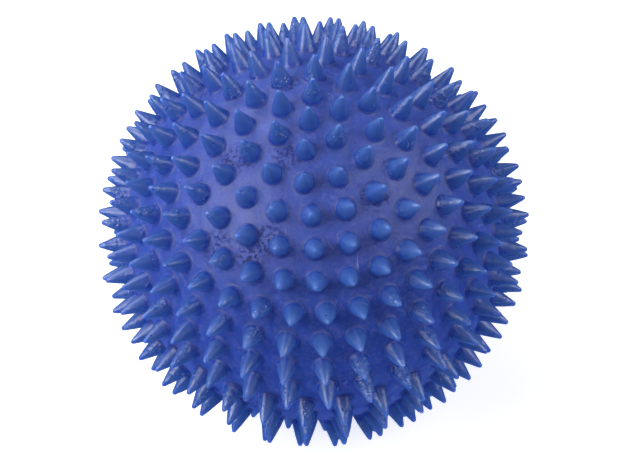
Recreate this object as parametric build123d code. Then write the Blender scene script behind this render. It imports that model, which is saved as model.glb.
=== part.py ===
from build123d import *

import os
from math import atan2, cos, degrees, radians, sin

# Spiky massage ball. A hollow skin of soft vinyl carries pointed spikes, moulded in one
# piece with it. A bush bonded into the skin at the bottom pole takes the push-in stopper
# that keeps the air in. Millimetres. The origin is the centre of the ball, +Z runs out
# through the top spike and -Z out through the valve. The front of the ball is -Y.

# ---- ball -----------------------------------------------------------------------------
BALL_DIAMETER = 160.0          # across the tips of opposite spikes
BARE_RADIUS = 69.5             # outside of the skin, between the spikes
WALL = 2.2                     # thickness of the skin

# ---- spikes ---------------------------------------------------------------------------
SPIKE_BASE_RADIUS = 4.0        # where a spike leaves the skin
SPIKE_END_RADIUS = 0.9         # the round end of a spike
SPIKE_ROOT = 1.0               # how deep a spike runs into the skin

# The spikes stand in rings round Z, equal steps apart, from the top pole down to the last
# ring above the valve. The upper and lower halves have the same numbers of spikes, and each
# ring sits at a turn of its own, counted in that ring's spacings.
RING_STEPS = 19
RING_COUNTS = (1, 6, 12, 17, 22, 28, 32, 33, 33, 33)        # spikes per ring, pole to middle
UPPER_TURNS = (0.0, -0.13, -0.21, -0.04, 0.0, 0.02, 0.28, 0.09, 0.10, 0.18)
LOWER_TURNS = (-0.43, -0.40, -0.44, 0.35, 0.50, 0.06, -0.12, 0.09, 0.07)
FRONT = -90.0                  # longitude that the turns are counted from

# ---- valve ----------------------------------------------------------------------------
HOLE_RADIUS = 4.4              # hole in the skin that the bush fills
FLANGE_RADIUS = 5.6            # bush, outside the skin
FLANGE_THICKNESS = 1.0
COLLAR_RADIUS = 6.6            # bush, inside the skin
COLLAR_END = 58.5              # distance of the collar's inner end from the origin
BORE_RADIUS = 2.60
PLUG_CLEARANCE = 0.05          # between the stopper's stem and the bore
HEAD_GAP = 0.1                 # under the stopper's head
HEAD_RADIUS = 4.7
HEAD_THICKNESS = 1.3
HEAD_EDGE = 0.35               # rounding of the head's rim
STEM_LENGTH = 7.2
STEM_LEAD = 0.6                # chamfer that leads the stem into the bore
NOTCH_WIDTH = 3.0              # finger-nail notch under the head's rim
NOTCH_DEPTH = 1.2
NOTCH_HEIGHT = 0.5

TIP_DISTANCE = BALL_DIAMETER / 2
RING_STEP = 180.0 / RING_STEPS
INSIDE_RADIUS = BARE_RADIUS - WALL
FLANGE_FACE = BARE_RADIUS + FLANGE_THICKNESS
HEAD_SEAT = FLANGE_FACE + HEAD_GAP
HEAD_FACE = HEAD_SEAT + HEAD_THICKNESS
STEM_RADIUS = BORE_RADIUS - PLUG_CLEARANCE


def spike_places():
    """Polar angle from +Z and longitude of every spike, in degrees."""
    places = []
    for ring, turn in enumerate(UPPER_TURNS + LOWER_TURNS):
        count = RING_COUNTS[min(ring, RING_STEPS - ring)]
        for number in range(count):
            longitude = FRONT + (number + turn) * 360.0 / count
            places.append((ring * RING_STEP, longitude))
    return places


def spike():
    """One spike standing on the skin over +Z: a cone that ends in part of a ball."""
    end_centre = TIP_DISTANCE - SPIKE_END_RADIUS
    slope = (SPIKE_BASE_RADIUS - SPIKE_END_RADIUS) / (end_centre - BARE_RADIUS)
    lean = atan2(slope, 1.0)
    root = (SPIKE_BASE_RADIUS + slope * SPIKE_ROOT, BARE_RADIUS - SPIKE_ROOT)
    shoulder = end_point(end_centre, lean)
    middle = end_point(end_centre, (lean + radians(90)) / 2)
    with BuildSketch(Plane.XZ) as outline:
        with BuildLine():
            Line((0, root[1]), root)
            Line(root, shoulder)
            ThreePointArc(shoulder, middle, (0, TIP_DISTANCE))
            Line((0, TIP_DISTANCE), (0, root[1]))
        make_face()
    return revolve(outline.sketch, Axis.Z)


def end_point(end_centre, angle):
    """A point of the spike's round end, angle above the horizontal, in radius and height."""
    return (SPIKE_END_RADIUS * cos(angle), end_centre + SPIKE_END_RADIUS * sin(angle))


def rod(radius, near, far):
    """A cylinder on the valve's axis, between two distances below the origin."""
    return Pos(0, 0, -(near + far) / 2) * Cylinder(radius, far - near)


def ball_skin():
    """The hollow skin with all its spikes, open only at the valve."""
    one = spike()
    spikes = [Rot(0, 0, turn) * Rot(0, polar, 0) * one for polar, turn in spike_places()]
    # The sphere lies on its side, so its seam runs round the middle, clear of the spikes.
    outside = Rot(90, 0, 0) * Rot(0, 90, 0) * Sphere(BARE_RADIUS)
    skin = outside.fuse(*spikes)
    return skin - Sphere(INSIDE_RADIUS) - rod(HOLE_RADIUS, COLLAR_END, HEAD_FACE)


def valve_seat():
    """The bush: a flange outside the skin, a neck through it and a collar inside."""
    flange = rod(FLANGE_RADIUS, INSIDE_RADIUS, FLANGE_FACE) - Sphere(BARE_RADIUS)
    neck = rod(HOLE_RADIUS, COLLAR_END, FLANGE_FACE)
    collar = rod(COLLAR_RADIUS, COLLAR_END, BARE_RADIUS) & Sphere(INSIDE_RADIUS)
    return flange + neck + collar - rod(BORE_RADIUS, COLLAR_END - 1, FLANGE_FACE + 1)


def valve_plug():
    """The stopper: a round head with a finger-nail notch, and a stem that fills the bore."""
    head = rod(HEAD_RADIUS, HEAD_SEAT, HEAD_FACE)
    head = fillet(head.edges().filter_by(GeomType.CIRCLE).sort_by(Axis.Z)[0], HEAD_EDGE)
    stem = rod(STEM_RADIUS, HEAD_SEAT - STEM_LENGTH, HEAD_SEAT)
    stem = chamfer(stem.edges().filter_by(GeomType.CIRCLE).sort_by(Axis.Z)[-1], STEM_LEAD)
    notch = Box(NOTCH_WIDTH, 2 * NOTCH_DEPTH, NOTCH_HEIGHT)
    notch = Pos(0, -HEAD_RADIUS, -HEAD_SEAT - NOTCH_HEIGHT / 2) * notch
    return head + stem - notch


NODES = {
    "ball_skin": ball_skin,
    "valve_seat": valve_seat,
    "valve_plug": valve_plug,
}

os.makedirs("parts", exist_ok=True)
for name, make in NODES.items():
    export_step(make(), "parts/" + name + ".step")
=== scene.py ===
import math
import random

import bmesh
import bpy
from mathutils import Matrix, Vector, noise


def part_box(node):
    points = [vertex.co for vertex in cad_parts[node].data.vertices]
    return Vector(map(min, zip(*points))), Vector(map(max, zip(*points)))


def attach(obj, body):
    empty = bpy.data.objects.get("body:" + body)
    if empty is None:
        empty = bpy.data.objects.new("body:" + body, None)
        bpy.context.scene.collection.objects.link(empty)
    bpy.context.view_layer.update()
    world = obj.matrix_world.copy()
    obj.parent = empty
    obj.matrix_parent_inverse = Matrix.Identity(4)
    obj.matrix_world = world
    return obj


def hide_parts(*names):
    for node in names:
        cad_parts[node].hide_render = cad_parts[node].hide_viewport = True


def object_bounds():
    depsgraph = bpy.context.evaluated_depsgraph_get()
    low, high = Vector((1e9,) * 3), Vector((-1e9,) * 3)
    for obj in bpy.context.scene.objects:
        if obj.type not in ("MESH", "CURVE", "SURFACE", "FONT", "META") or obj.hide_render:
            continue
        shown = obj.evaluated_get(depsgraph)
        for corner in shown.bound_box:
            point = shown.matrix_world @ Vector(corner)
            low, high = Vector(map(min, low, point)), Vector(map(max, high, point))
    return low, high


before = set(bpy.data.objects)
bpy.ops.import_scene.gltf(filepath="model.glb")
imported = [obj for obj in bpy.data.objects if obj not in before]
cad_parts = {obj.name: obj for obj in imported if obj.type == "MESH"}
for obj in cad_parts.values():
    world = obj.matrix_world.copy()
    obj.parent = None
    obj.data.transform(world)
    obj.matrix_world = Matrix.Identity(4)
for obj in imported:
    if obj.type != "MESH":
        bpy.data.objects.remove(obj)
CAD_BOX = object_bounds()
MM = 0.001

# ---- the ball, in metres, the same layout as the CAD part -----------------------------
TIP_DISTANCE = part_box("ball_skin")[1].z
BARE_RADIUS = 69.5 * MM
WALL = 2.2 * MM
SPIKE_BASE = 4.0 * MM
SPIKE_END = 0.9 * MM
FILLET = 0.5 * MM              # soft foot of a spike, where it runs into the skin
SWELL = ((3.4 * MM, 0.16 * MM), (6.8 * MM, 0.14 * MM))   # height on a spike, bulge there
RING_STEPS = 19
RING_COUNTS = (1, 6, 12, 17, 22, 28, 32, 33, 33, 33)
UPPER_TURNS = (0.0, -0.13, -0.21, -0.04, 0.0, 0.02, 0.28, 0.09, 0.10, 0.18)
LOWER_TURNS = (-0.43, -0.40, -0.44, 0.35, 0.50, 0.06, -0.12, 0.09, 0.07)
FRONT = -90.0

# ---- the valve ------------------------------------------------------------------------
HOLE = 4.4 * MM
FLANGE = 5.6 * MM
FLANGE_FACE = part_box("valve_seat")[0].z
COLLAR_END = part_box("valve_seat")[1].z
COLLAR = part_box("valve_seat")[1].x
BORE = 2.6 * MM
PLUG_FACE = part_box("valve_plug")[0].z
PLUG_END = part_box("valve_plug")[1].z
PLUG_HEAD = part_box("valve_plug")[1].x
PLUG_STEM = 2.55 * MM
HEAD_SEAT = FLANGE_FACE - 0.1 * MM
NOTCH_REACH = 2.2 * MM
NOTCH_DEPTH = 0.5 * MM

# ---- scuffed places on the skin: polar angle and longitude, in degrees -----------------
SCUFFS = ((46, -133), (43, -118), (37, -112), (12, -122), (22, -159), (29, -50))
SCUFF_REACH = 8 * MM

# ---- mesh fineness --------------------------------------------------------------------
EDGE_STEP = 1.85 * MM          # along the lines where the skin of two spikes meets
WELD = 1.0 * MM                # corners of that net closer than this are one corner
LATHE_STEPS = 96


def direction(polar, longitude):
    """Unit vector at a polar angle from +Z and a longitude, in degrees."""
    p, l = math.radians(polar), math.radians(longitude)
    return Vector((math.sin(p) * math.cos(l), math.sin(p) * math.sin(l), math.cos(p)))


def spike_directions():
    """The direction of every spike, ring by ring, and last that of the valve."""
    found = []
    for ring, turn in enumerate(UPPER_TURNS + LOWER_TURNS):
        count = RING_COUNTS[min(ring, RING_STEPS - ring)]
        for number in range(count):
            longitude = FRONT + (number + turn) * 360.0 / count
            found.append(direction(ring * 180.0 / RING_STEPS, longitude))
    return found + [Vector((0, 0, -1))]


def neighbours(sites):
    """Triples of neighbouring sites: the faces of the sites' convex hull."""
    bm = bmesh.new()
    number = bm.verts.layers.int.new("number")
    for place, site in enumerate(sites):
        bm.verts.new(site)[number] = place
    bmesh.ops.convex_hull(bm, input=bm.verts)
    triples = [[v[number] for v in face.verts] for face in bm.faces]
    bm.free()
    return triples


def meeting_point(a, b, c):
    """The direction equally far from three sites, on their side of the ball."""
    normal = (b - a).cross(c - a).normalized()
    return normal if normal.dot(a) > 0 else -normal


def welded(points, reach):
    """The points with close ones merged, and for each point the place of its merged one."""
    groups = []
    place = []
    for point in points:
        near = [g for g, group in enumerate(groups) if (group[0] - point).length < reach]
        if near:
            groups[near[0]].append(point)
            place.append(near[0])
        else:
            groups.append([point])
            place.append(len(groups) - 1)
    return [sum(group, Vector()).normalized() for group in groups], place


def tangents(axis):
    """Two unit vectors square to the axis, the second anticlockwise from the first."""
    across = axis.orthogonal().normalized()
    return across, axis.cross(across)


def turn_round(axis, frame_axes, point):
    """The angle of a point round an axis."""
    return math.atan2(point.dot(frame_axes[1]), point.dot(frame_axes[0]))


class SkinNet:
    """The skin between the spikes, split into one cell per spike.

    Each cell's border is a closed line of shared points, halfway to the neighbours.
    """

    def __init__(self, sites):
        self.sites = sites
        self.points = []
        self.lines = {}
        triples = neighbours(sites)
        corners = [meeting_point(*(sites[n] for n in triple)) for triple in triples]
        self.corners, place = welded(corners, WELD / BARE_RADIUS)
        self.around = [set() for _ in sites]
        for triple, corner in zip(triples, place):
            for site in triple:
                self.around[site].add(corner)

    def add(self, point):
        self.points.append(point)
        return len(self.points) - 1

    def line(self, a, b):
        """Places of the points from corner a up to, and without, corner b."""
        key = (min(a, b), max(a, b))
        if key not in self.lines:
            first, last = self.corners[key[0]], self.corners[key[1]]
            steps = max(1, round((last - first).length * BARE_RADIUS / EDGE_STEP))
            inner = [self.add(first.lerp(last, s / steps).normalized()) for s in range(1, steps)]
            self.lines[key] = inner
        inner = self.lines[key]
        start = self.corner_point(a)
        return [start] + (inner if a == key[0] else inner[::-1])

    def corner_point(self, corner):
        if ("corner", corner) not in self.lines:
            self.lines[("corner", corner)] = self.add(self.corners[corner])
        return self.lines[("corner", corner)]

    def border(self, number):
        """Places of the points round one cell, anticlockwise seen from outside."""
        site = self.sites[number]
        axes = tangents(site)
        ordered = sorted(self.around[number], key=lambda c: turn_round(site, axes, self.corners[c]))
        ring = []
        for a, b in zip(ordered, ordered[1:] + ordered[:1]):
            ring += self.line(a, b)
        return ring


# ---- the skin's mesh ------------------------------------------------------------------
def uneven(point, size):
    """Smooth random number, about -1 to 1, that varies over the given size in metres."""
    return noise.noise(point / size)


def skin_point(outward, height=0.0):
    """A point on the outside of the skin, which is very slightly uneven."""
    place = outward * BARE_RADIUS
    bumps = 0.06 * MM * uneven(place, 4 * MM) + 0.10 * MM * uneven(place, 11 * MM)
    return outward * (BARE_RADIUS + height + bumps)


def spike_profile():
    """Radius of a spike and distance from the ball's centre, from its foot to near its end."""
    low = math.sqrt(BARE_RADIUS ** 2 - SPIKE_BASE ** 2)
    end = TIP_DISTANCE - SPIKE_END
    slope = (SPIKE_BASE - SPIKE_END) / (end - low)
    lean = math.atan(slope)
    cone = []
    for rise, swell in ((FILLET, 0.0),) + SWELL:
        cone.append((SPIKE_BASE - slope * rise + swell, low + rise))
    round_end = [(SPIKE_END * math.cos(a), end + SPIKE_END * math.sin(a)) for a in (lean, 0.95)]
    return cone + round_end


class Spike:
    """One spike's own small faults: where it leans, its length and its oval section."""

    def __init__(self, outward, chance):
        self.outward = outward
        self.axes = tangents(outward)
        lean = chance.uniform(0, 0.45 * MM)
        way = chance.uniform(0, 2 * math.pi)
        self.lean = (self.axes[0] * math.cos(way) + self.axes[1] * math.sin(way)) * lean
        self.shrink = chance.uniform(0.955, 1.0)
        self.oval = chance.uniform(-0.03, 0.03)
        self.seed = Vector((chance.uniform(-9, 9), chance.uniform(-9, 9), chance.uniform(-9, 9)))

    def point(self, radius, distance, angle):
        """A point of the spike's side, where it is that far from the ball's centre."""
        rise = max(0.0, distance - BARE_RADIUS)
        share = rise / (TIP_DISTANCE - BARE_RADIUS)
        centre = self.outward * (distance - rise * (1 - self.shrink)) + self.lean * share ** 1.5
        side = (self.axes[0] * math.cos(angle) * (1 + self.oval)
                + self.axes[1] * math.sin(angle) * (1 - self.oval))
        lump = uneven(self.seed + side + self.outward * rise / (4 * MM), 0.8)
        return centre + side * (radius + 0.10 * MM * lump * min(1.0, rise / MM))


def cell_angles(net, number, ring, axes):
    """For each border point, its angle round the site, and the even angle it runs in to."""
    site = net.sites[number]
    angles = [turn_round(site, axes, net.points[p]) for p in ring]
    for place in range(1, len(angles)):
        while angles[place] < angles[place - 1]:
            angles[place] += 2 * math.pi
    pitch = 2 * math.pi / len(ring)
    start = sum(a - pitch * place for place, a in enumerate(angles)) / len(angles)
    return angles, [start + pitch * place for place in range(len(ring))]


def polar_point(site, axes, reach, angle):
    """Direction at an angle reach from the site, turned by angle round it."""
    side = axes[0] * math.cos(angle) + axes[1] * math.sin(angle)
    return site * math.cos(reach) + side * math.sin(reach)


class Mesh:
    """Vertices and faces as they are made, ring by ring."""

    def __init__(self):
        self.vertices = []
        self.faces = []
        self.painted_foot_shades = []

    def ring(self, points, painted_foot_shade=0.0):
        """Adds points, each with a weight of painted shade: 1 in the corner at a spike's foot, and 0 away
        from it.
        """
        first = len(self.vertices)
        self.vertices += points
        self.painted_foot_shades += [painted_foot_shade] * len(points)
        return list(range(first, len(self.vertices)))

    def strip(self, outer, inner):
        """Quads between two rings with the same number of points."""
        for place in range(len(outer)):
            after = (place + 1) % len(outer)
            self.faces.append((outer[place], outer[after], inner[after], inner[place]))

    def cap(self, ring, point):
        """Triangles from a ring to one point."""
        tip = self.ring([point])[0]
        for place in range(len(ring)):
            self.faces.append((ring[place], ring[(place + 1) % len(ring)], tip))

    def object(self, name, material):
        data = bpy.data.meshes.new(name)
        data.from_pydata([tuple(v) for v in self.vertices], [], self.faces)
        data.update()
        data.shade_smooth()
        # Stores each point's weight of painted shade at the spikes' feet as a point attribute.
        data.attributes.new("painted_foot_shade", "FLOAT", "POINT").data.foreach_set("value", self.painted_foot_shades)
        data.materials.append(material)
        made = bpy.data.objects.new(name, data)
        bpy.context.scene.collection.objects.link(made)
        return made


def add_spike(mesh, net, number, border, chance):
    """Skin round one spike, from its cell's border in, and the spike itself."""
    site = net.sites[number]
    spike = Spike(site, chance)
    angles, even = cell_angles(net, number, border, spike.axes)
    foot = (SPIKE_BASE + FILLET) / BARE_RADIUS
    reaches = [site.angle(net.points[p]) for p in border]
    between = [polar_point(site, spike.axes, (reach + foot) / 2, (a + e) / 2)
               for reach, a, e in zip(reaches, angles, even)]
    rings = [border, mesh.ring([skin_point(p) for p in between])]
    # The last number given to a ring is its weight of painted shade at the spike's foot.
    rings.append(mesh.ring([skin_point(polar_point(site, spike.axes, foot, e)) for e in even], 0.3))
    inner = (SPIKE_BASE + 0.12 * FILLET) / BARE_RADIUS
    rise = 0.24 * FILLET
    corner = [skin_point(polar_point(site, spike.axes, inner, e), rise) for e in even]
    rings.append(mesh.ring(corner, 1.0))
    for level, (radius, distance) in enumerate(spike_profile()):
        painted_foot_shade = 0.5 if level == 0 else 0.0
        rings.append(mesh.ring([spike.point(radius, distance, e) for e in even], painted_foot_shade))
    for outer, inner_ring in zip(rings, rings[1:]):
        mesh.strip(outer, inner_ring)
    mesh.cap(rings[-1], spike.point(0.0, TIP_DISTANCE, 0.0))


def add_inside(mesh, net, number, border):
    """Skin round the valve, the edge of its hole, and the inside of the ball."""
    site = net.sites[number]
    axes = tangents(site)
    even = cell_angles(net, number, border, axes)[1]
    hole = math.asin(HOLE / BARE_RADIUS)
    rings = [border, mesh.ring([polar_point(site, axes, hole, e) * BARE_RADIUS for e in even])]
    inside = BARE_RADIUS - WALL
    first = math.asin(HOLE / inside)
    rows = 16
    for row in range(rows):
        reach = first + (math.pi - first) * row / rows
        rings.append(mesh.ring([polar_point(site, axes, reach, e) * inside for e in even]))
    for outer, inner_ring in zip(rings, rings[1:]):
        mesh.strip(outer, inner_ring)
    mesh.cap(rings[-1], -site * inside)


def ball_skin(material):
    """The whole skin: one closed shell with every spike moulded on."""
    net = SkinNet(spike_directions())
    chance = random.Random(11)
    borders = [net.border(number) for number in range(len(net.sites))]
    mesh = Mesh()
    mesh.ring([skin_point(p) for p in net.points])
    for number, border in enumerate(borders[:-1]):
        add_spike(mesh, net, number, border, chance)
    add_inside(mesh, net, len(borders) - 1, borders[-1])
    made = mesh.object("skin_with_spikes", material)
    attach(made, "ball")
    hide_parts("ball_skin")
    return made


# ---- the valve's meshes ---------------------------------------------------------------
def rounded(points, radius, steps=4):
    """An outline with each inner corner replaced by a small arc."""
    made = [points[0]]
    for before, corner, after in zip(points, points[1:], points[2:]):
        made += arc(Vector(before), Vector(corner), Vector(after), radius, steps)
    return made + [points[-1]]


def arc(before, corner, after, radius, steps):
    """Points of a curve that cuts a corner off, starting and ending radius away from it."""
    start = corner + (before - corner).normalized() * min(radius, (before - corner).length / 2)
    end = corner + (after - corner).normalized() * min(radius, (after - corner).length / 2)
    found = []
    for step in range(steps + 1):
        t = step / steps
        found.append(tuple(start * (1 - t) ** 2 + corner * 2 * t * (1 - t) + end * t ** 2))
    return found


def turned(points, name, material, bored=False, dent=None):
    """A turned piece on the ball's axis, from (radius, z) points that run upwards outside.
    With a bore the outline closes on itself, and without one each end closes to a point."""
    mesh = Mesh()
    rings = []
    for radius, z in points:
        ring = []
        for step in range(LATHE_STEPS):
            angle = 2 * math.pi * step / LATHE_STEPS
            place = Vector((radius * math.cos(angle), radius * math.sin(angle), z))
            ring.append(dent(place) if dent else place)
        rings.append(mesh.ring(ring))
    for lower, upper in zip(rings, rings[1:]):
        mesh.strip(lower, upper)
    if bored:
        mesh.strip(rings[-1], rings[0])
    else:
        mesh.cap(rings[0][::-1], Vector((0, 0, points[0][1])))
        mesh.cap(rings[-1], Vector((0, 0, points[-1][1])))
    return mesh.object(name, material)


def valve_seat(material):
    """The bush: flange outside, neck through the skin, collar inside, open bore."""
    inside = BARE_RADIUS - WALL
    neck = HOLE - 0.02 * MM
    corners = [
        (BORE, FLANGE_FACE + 3 * MM),
        (BORE, FLANGE_FACE),
        (FLANGE, FLANGE_FACE),
        (FLANGE, -BARE_RADIUS + 0.15 * MM),
        (neck, -BARE_RADIUS + 0.15 * MM),
        (neck, -inside + 0.1 * MM),
        (COLLAR, -inside + 0.4 * MM),
        (COLLAR, COLLAR_END),
        (BORE, COLLAR_END),
        (BORE, FLANGE_FACE + 4 * MM),
    ]
    made = turned(rounded(corners, 0.3 * MM), "valve_bush", material, bored=True)
    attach(made, "ball")
    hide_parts("valve_seat")
    return made


def nail_notch(place):
    """Lowers the rim's inner face at the front of the stopper, so that a nail gets under it."""
    on_face = place.z > HEAD_SEAT - 0.7 * MM and math.hypot(place.x, place.y) > 3.2 * MM
    if not on_face or place.y > -3.0 * MM:
        return place
    share = max(0.0, 1 - (place.x / NOTCH_REACH) ** 2)
    return place - Vector((0, 0, NOTCH_DEPTH * share))


def valve_plug(material):
    """The stopper: a head with a shallow dish, a rounded rim and a stem."""
    dish = 0.35 * MM
    corners = [
        (0.4 * MM, PLUG_FACE + dish),
        (2.2 * MM, PLUG_FACE + dish),
        (3.1 * MM, PLUG_FACE),
        (PLUG_HEAD, PLUG_FACE + 0.05 * MM),
        (PLUG_HEAD, HEAD_SEAT),
        (3.6 * MM, HEAD_SEAT),
        (PLUG_STEM, HEAD_SEAT),
        (PLUG_STEM, PLUG_END - 0.6 * MM),
        (PLUG_STEM - 0.6 * MM, PLUG_END),
        (0.3 * MM, PLUG_END),
    ]
    made = turned(rounded(corners, 0.35 * MM), "valve_stopper", material, dent=nail_notch)
    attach(made, "plug")
    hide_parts("valve_plug")
    return made


# ---- materials ------------------------------------------------------------------------
class Nodes:
    """Short ways to add and join the nodes of one material."""

    def __init__(self, name):
        self.material = bpy.data.materials.new(name)
        self.material.use_nodes = True
        self.tree = self.material.node_tree
        self.shader = self.tree.nodes["Principled BSDF"]
        self.place = self.tree.nodes.new("ShaderNodeTexCoord").outputs["Object"]

    def join(self, value, socket):
        if isinstance(value, bpy.types.NodeSocket):
            self.tree.links.new(value, socket)
        else:
            socket.default_value = value

    def math(self, operation, a, b=0.0):
        node = self.tree.nodes.new("ShaderNodeMath")
        node.operation = operation
        self.join(a, node.inputs[0])
        self.join(b, node.inputs[1])
        return node.outputs[0]

    def noise(self, size, detail=3.0, rough=0.5):
        """Noise with features of the given size in metres."""
        node = self.tree.nodes.new("ShaderNodeTexNoise")
        node.inputs["Scale"].default_value = 1.0 / size
        node.inputs["Detail"].default_value = detail
        node.inputs["Roughness"].default_value = rough
        self.join(self.place, node.inputs["Vector"])
        return node.outputs["Fac"]

    def specks(self, size):
        """Distance from the nearest of scattered points, in cells of the given size."""
        node = self.tree.nodes.new("ShaderNodeTexVoronoi")
        node.inputs["Scale"].default_value = 1.0 / size
        self.join(self.place, node.inputs["Vector"])
        return node.outputs["Distance"]

    def between(self, value, low, high, out_low=0.0, out_high=1.0):
        """The value taken from low..high to out_low..out_high, smoothly and held at the ends."""
        node = self.tree.nodes.new("ShaderNodeMapRange")
        node.interpolation_type = "SMOOTHSTEP"
        self.join(value, node.inputs["Value"])
        node.inputs["From Min"].default_value = low
        node.inputs["From Max"].default_value = high
        node.inputs["To Min"].default_value = out_low
        node.inputs["To Max"].default_value = out_high
        return node.outputs["Result"]

    def mix(self, share, a, b):
        node = self.tree.nodes.new("ShaderNodeMix")
        node.data_type = "RGBA"
        self.join(share, node.inputs["Factor"])
        self.join(a, node.inputs["A"])
        self.join(b, node.inputs["B"])
        return node.outputs["Result"]

    def distance(self):
        """Distance of the shaded point from the ball's centre."""
        node = self.tree.nodes.new("ShaderNodeVectorMath")
        node.operation = "LENGTH"
        self.join(self.place, node.inputs[0])
        return node.outputs["Value"]

    def near(self, place, reach):
        """1 at a place on the ball, falling to 0 at the reach from it."""
        node = self.tree.nodes.new("ShaderNodeVectorMath")
        node.operation = "DISTANCE"
        self.join(self.place, node.inputs[0])
        self.join(place, node.inputs[1])
        return self.between(node.outputs["Value"], 0.4 * reach, reach, 1.0, 0.0)

    def painted_foot_shade(self):
        """Weight of painted shade: 1 in the corner at the foot of a spike, falling to 0 on both sides of
        it.
        """
        node = self.tree.nodes.new("ShaderNodeAttribute")
        node.attribute_name = "painted_foot_shade"
        return node.outputs["Fac"]

    def hairlines(self, size, width):
        """1 on thin wandering lines about the given size apart."""
        away = self.math("ABSOLUTE", self.math("SUBTRACT", self.noise(size, 1.0), 0.5))
        return self.between(away, 0.0, width, 1.0, 0.0)

    def bump(self, height, depth, below=None):
        """Relief of the given depth in metres, on top of the relief below."""
        node = self.tree.nodes.new("ShaderNodeBump")
        node.inputs["Distance"].default_value = depth
        node.inputs["Strength"].default_value = 1.0
        self.join(height, node.inputs["Height"])
        if below:
            self.join(below, node.inputs["Normal"])
        return node.outputs["Normal"]

    def set(self, **values):
        """Sets shader sockets, with _ for a space in their names."""
        for name, value in values.items():
            self.join(value, self.shader.inputs[name.replace("_", " ")])


def colour(red, green, blue):
    return (red, green, blue, 1.0)


def dust_and_sheen_grain(n, body, on_skin):
    """The colour with pale grain on the skin, partly dust and partly painted sheen, and where it lies."""
    # Painted sheen: the pale grain is partly dust and partly stands in for the mottled sheen of light on
    # the skin.
    dust_and_sheen = n.math("MULTIPLY", n.between(n.noise(1.6 * MM, 5.0, 0.8), 0.47, 0.62), on_skin)
    return n.mix(n.math("MULTIPLY", dust_and_sheen, 0.60), body, colour(0.120, 0.150, 0.540)), dust_and_sheen


def scuffed(n, body, on_skin):
    """The colour with dark scuffs on the skin, at the named places and a few others."""
    area = n.between(n.noise(19 * MM, 1.0), 0.66, 0.72)
    for polar, longitude in SCUFFS:
        area = n.math("MAXIMUM", area, n.near(direction(polar, longitude) * BARE_RADIUS, SCUFF_REACH))
    scuff = n.math("MULTIPLY", n.between(n.noise(1.5 * MM, 4.0, 0.7), 0.50, 0.57), area)
    scuff = n.math("MULTIPLY", scuff, on_skin)
    return n.mix(n.math("MULTIPLY", scuff, 0.85), body, colour(0.010, 0.018, 0.200)), scuff


def specked(n, body, on_skin):
    """The colour with dark dirt and fine scratches, painted glints as tiny pale dots all over, and more
    painted glints on the spikes.
    """
    dirt = n.between(n.specks(8 * MM), 0.035, 0.055, 1.0, 0.0)
    body = n.mix(n.math("MULTIPLY", dirt, 0.8), body, colour(0.008, 0.010, 0.050))
    # Painted glints: tiny pale dots scattered over skin and spikes.
    pinpoint_glint = n.between(n.specks(11 * MM), 0.022, 0.034, 1.0, 0.0)
    scratch = n.math("MULTIPLY", n.hairlines(12 * MM, 0.006), n.between(n.noise(9 * MM, 2.0), 0.60, 0.66))
    # Painted glints: pale dots in patches on the spikes, standing in for their beaded highlights.
    glint = n.between(n.specks(1.9 * MM), 0.10, 0.20, 1.0, 0.0)
    glint = n.math("MULTIPLY", glint, n.between(n.noise(13 * MM, 1.0), 0.57, 0.64))
    glint = n.math("MULTIPLY", glint, n.math("SUBTRACT", 1.0, on_skin))
    # The real scratches and the painted glints share one pale colour.
    pale = n.math("MAXIMUM", n.math("MAXIMUM", pinpoint_glint, scratch), glint)
    return n.mix(n.math("MULTIPLY", pale, 0.6), body, colour(0.40, 0.46, 0.78))


def vinyl_colour(n, rise, to_tip):
    """Violet blue skin in faint patches, clearer blue spikes with a painted glow towards their tips, and
    painted shade in the corners at their feet.
    """
    up_spike = n.between(rise, BARE_RADIUS + 0.2 * MM, BARE_RADIUS + 3.0 * MM)
    patches = n.between(n.noise(26 * MM, 2.0), 0.35, 0.65)
    skin = n.mix(patches, colour(0.023, 0.074, 0.425), colour(0.030, 0.087, 0.465))
    # Painted glow: the spikes are lighter towards their tips, for light shining through the thin vinyl
    # there.
    spike = n.mix(to_tip, colour(0.045, 0.123, 0.435), colour(0.072, 0.165, 0.440))
    body = n.mix(up_spike, skin, spike)
    # Painted shade: the corner at each spike's foot is darkened in the colour.
    return n.mix(n.math("MULTIPLY", n.painted_foot_shade(), 0.25), body, colour(0.012, 0.030, 0.240))


def vinyl_roughness(n, on_skin, on_spike, to_tip, dust_and_sheen, scuff):
    """Dull skin that is duller still in its pale grain, duller scuffs, and spikes that get shinier
    towards their tips.
    """
    skin = n.math("ADD", 0.37, n.math("MULTIPLY", n.noise(4 * MM, 4.0, 0.6), 0.14))
    skin = n.math("ADD", skin, n.math("MULTIPLY", dust_and_sheen, 0.24))
    spike = n.math("MULTIPLY", on_spike, n.between(to_tip, 0.0, 1.0, 0.26, 0.15))
    both = n.math("ADD", n.math("MULTIPLY", on_skin, skin), spike)
    return n.math("ADD", both, n.math("MULTIPLY", scuff, 0.30))


def vinyl_relief(n, on_spike, scuff):
    """Fine grain and low waves everywhere, hollows in the scuffs, and beads on some spikes."""
    grain = n.bump(n.noise(0.9 * MM, 4.0, 0.7), 0.13 * MM)
    waves = n.bump(n.noise(2.6 * MM, 2.0), 0.30 * MM, below=grain)
    marks = n.bump(n.math("MULTIPLY", scuff, -1.0), 0.15 * MM, below=waves)
    bead = n.math("MULTIPLY", n.between(n.noise(1.3 * MM, 1.0), 0.45, 0.75),
                  n.between(n.noise(13 * MM, 1.0), 0.56, 0.64))
    return n.bump(n.math("MULTIPLY", bead, on_spike), 0.30 * MM, below=marks)


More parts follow.
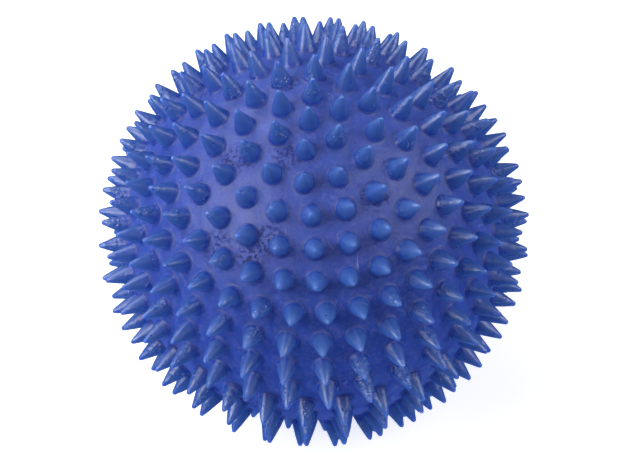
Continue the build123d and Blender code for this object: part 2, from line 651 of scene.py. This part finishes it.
def vinyl():
    """Soft blue vinyl: skin with pale grain that is partly dust and partly painted sheen, scuffs, specks
    and painted glints, and clearer, bluer spikes with a painted glow towards their tips and painted shade
    at their feet.
    """
    n = Nodes("soft_vinyl")
    rise = n.distance()
    on_spike = n.between(rise, BARE_RADIUS + 0.25 * MM, BARE_RADIUS + 1.0 * MM)
    on_skin = n.math("SUBTRACT", 1.0, on_spike)
    to_tip = n.between(rise, BARE_RADIUS + 2 * MM, TIP_DISTANCE)
    body, dust_and_sheen = dust_and_sheen_grain(n, vinyl_colour(n, rise, to_tip), on_skin)
    body, scuff = scuffed(n, body, on_skin)
    n.set(Base_Color=specked(n, body, on_skin))
    n.set(Roughness=vinyl_roughness(n, on_skin, on_spike, to_tip, dust_and_sheen, scuff))
    n.set(Normal=vinyl_relief(n, on_spike, scuff))
    n.set(Subsurface_Weight=1.0, Subsurface_Scale=0.005, IOR=1.5, Specular_IOR_Level=0.75)
    n.shader.inputs["Subsurface Radius"].default_value = (0.3, 0.45, 1.0)
    n.set(Coat_Weight=n.math("MULTIPLY", on_spike, 0.20), Coat_Roughness=0.10)
    return n.material


def bush_vinyl():
    """The same vinyl, turned out of a smooth mould and a little duller."""
    n = Nodes("valve_vinyl")
    cloud = n.between(n.noise(3 * MM, 3.0), 0.3, 0.7)
    n.set(Base_Color=n.mix(cloud, colour(0.028, 0.050, 0.260), colour(0.038, 0.068, 0.310)))
    n.set(Roughness=n.math("ADD", 0.34, n.math("MULTIPLY", n.noise(1.2 * MM), 0.14)))
    n.set(Normal=n.bump(n.noise(0.5 * MM, 3.0), 0.03 * MM), IOR=1.5)
    n.set(Subsurface_Weight=0.15, Subsurface_Scale=0.003)
    return n.material


def stopper_plastic():
    """Milky moulded plastic with faint flow marks and fine scratches."""
    n = Nodes("plug_plastic")
    flow = n.between(n.noise(4 * MM, 4.0, 0.6), 0.3, 0.75)
    n.set(Base_Color=n.mix(flow, colour(0.62, 0.68, 0.80), colour(0.74, 0.79, 0.88)))
    n.set(Roughness=n.math("ADD", 0.22, n.math("MULTIPLY", n.noise(0.9 * MM, 4.0), 0.16)))
    n.set(Normal=n.bump(n.noise(0.7 * MM, 3.0), 0.02 * MM), IOR=1.49)
    n.set(Subsurface_Weight=0.5, Subsurface_Scale=0.004)
    return n.material


def floor_paint():
    """Pale paint with faint shades that glows a little, so that shadows on it stay soft."""
    n = Nodes("floor_paint")
    shade = n.between(n.noise(300 * MM, 2.0), 0.3, 0.7)
    pale = n.mix(shade, colour(0.90, 0.90, 0.905), colour(0.93, 0.93, 0.935))
    n.set(Base_Color=pale, Roughness=0.75, Emission_Color=pale, Emission_Strength=0.62)
    return n.material


# ---- camera, floor and light ----------------------------------------------------------
CAMERA_ELEVATION = 57.0        # degrees above the horizon, looking along +Y
CAMERA_ROLL = -2.5
CAMERA_DISTANCE = 14.1 * TIP_DISTANCE
LENS = 174.6
SHIFT = (0.0013, -0.0048)


def camera_axes():
    """Unit vectors to the right of the picture, up it and towards the camera."""
    tilt, roll = math.radians(CAMERA_ELEVATION), math.radians(CAMERA_ROLL)
    back = Vector((0, -math.cos(tilt), math.sin(tilt)))
    right, up = Vector((1, 0, 0)), Vector((0, math.sin(tilt), math.cos(tilt)))
    turned_right = right * math.cos(roll) + up * math.sin(roll)
    return turned_right, back.cross(turned_right), back


def camera():
    data = bpy.data.cameras.new("camera")
    data.lens = LENS
    data.shift_x, data.shift_y = SHIFT
    data.clip_start, data.clip_end = 0.05, 20
    made = bpy.data.objects.new("camera", data)
    bpy.context.scene.collection.objects.link(made)
    right, up, back = camera_axes()
    made.location = back * CAMERA_DISTANCE
    made.rotation_mode = "QUATERNION"
    made.rotation_quaternion = Matrix((right, up, back)).transposed().to_quaternion()
    bpy.context.scene.camera = made


def floor():
    """A wide pale floor just under the lowest spikes. It makes no reflection on the ball."""
    mesh = Mesh()
    level = CAD_BOX[0].z
    half = 6.0
    signs = ((-1, -1), (1, -1), (1, 1), (-1, 1))
    corners = [Vector((half * x, half * y, level)) for x, y in signs]
    mesh.faces.append(tuple(mesh.ring(corners)))
    made = mesh.object("floor", floor_paint())
    made.visible_glossy = False


def softbox(name, towards, distance, size, power):
    """A square light that shines on the ball from the direction given."""
    data = bpy.data.lights.new(name, "AREA")
    data.size = size
    data.energy = power
    made = bpy.data.objects.new(name, data)
    bpy.context.scene.collection.objects.link(made)
    away = Vector(towards).normalized()
    made.location = away * distance
    made.rotation_mode = "QUATERNION"
    made.rotation_quaternion = away.to_track_quat("Z", "Y")


def room():
    """Even light from above that fades below the horizon."""
    world = bpy.data.worlds.new("room")
    world.use_nodes = True
    tree = world.node_tree
    where = tree.nodes.new("ShaderNodeTexCoord")
    split = tree.nodes.new("ShaderNodeSeparateXYZ")
    ramp = tree.nodes.new("ShaderNodeMapRange")
    tree.links.new(where.outputs["Generated"], split.inputs[0])
    tree.links.new(split.outputs["Z"], ramp.inputs["Value"])
    ramp.inputs["From Min"].default_value = -0.4
    ramp.inputs["From Max"].default_value = 0.4
    ramp.inputs["To Min"].default_value = 0.30
    ramp.inputs["To Max"].default_value = 0.92
    tree.links.new(ramp.outputs["Result"], tree.nodes["Background"].inputs["Strength"])
    bpy.context.scene.world = world


def studio():
    camera()
    floor()
    softbox("softbox_left", (-0.70, -0.24, 0.66), 1.2, 0.8, 10.5)
    softbox("softbox_right", (0.76, 0.05, 0.64), 1.3, 0.9, 8.0)
    softbox("softbox_back", (-0.45, 0.60, 0.66), 1.3, 1.0, 9.5)
    softbox("softbox_front", (0.35, -0.50, 0.80), 1.3, 1.2, 2.0)
    room()
    bpy.context.scene.view_settings.view_transform = "Standard"


studio()
ball_skin(vinyl())
valve_seat(bush_vinyl())
valve_plug(stopper_plastic())
